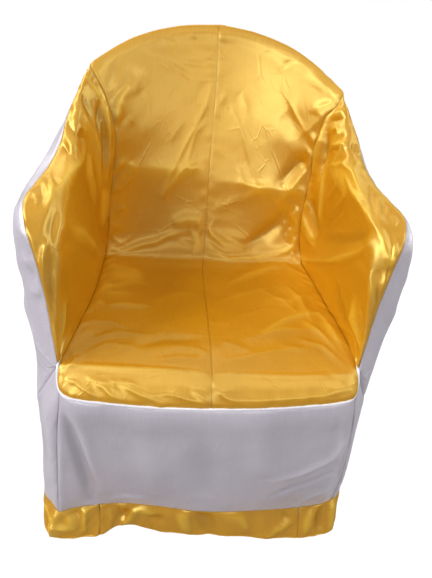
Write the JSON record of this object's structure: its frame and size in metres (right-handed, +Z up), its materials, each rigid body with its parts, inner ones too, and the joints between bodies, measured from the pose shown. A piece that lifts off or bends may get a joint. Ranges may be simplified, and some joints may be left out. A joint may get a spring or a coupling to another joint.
{
  "type": "armchair cover",
  "caption": "Fitted satin cover for a moulded armchair: gold inside, white outside, gold hem band and white piping at the seat's front edge.",
  "frame": {"origin": "centre of the cover's bounding box, at floor level", "axes": "+X to the viewer's right as seen from the front, +Y to the rear, +Z up"},
  "size_m": [0.6577, 0.6749, 0.8296],
  "materials": {
    "gold_satin": "smooth satin with a strong sheen",
    "white_satin": "smooth satin, cool white",
    "white_piping": "satin-covered cord"
  },
  "bodies": {
    "root": {"front_skirt": "white_satin", "hem_band_front": "gold_satin", "hem_band_round": "gold_satin", "inside_arm_left": "gold_satin", "inside_arm_right": "gold_satin", "inside_panel_left": "gold_satin", "inside_panel_right": "gold_satin", "outside_arm_left": "white_satin", "outside_arm_right": "white_satin", "outside_back": "white_satin", "seat_piping": "white_piping", "side_skirt_left": "white_satin", "side_skirt_right": "white_satin"}
  },
  "joints": []
}
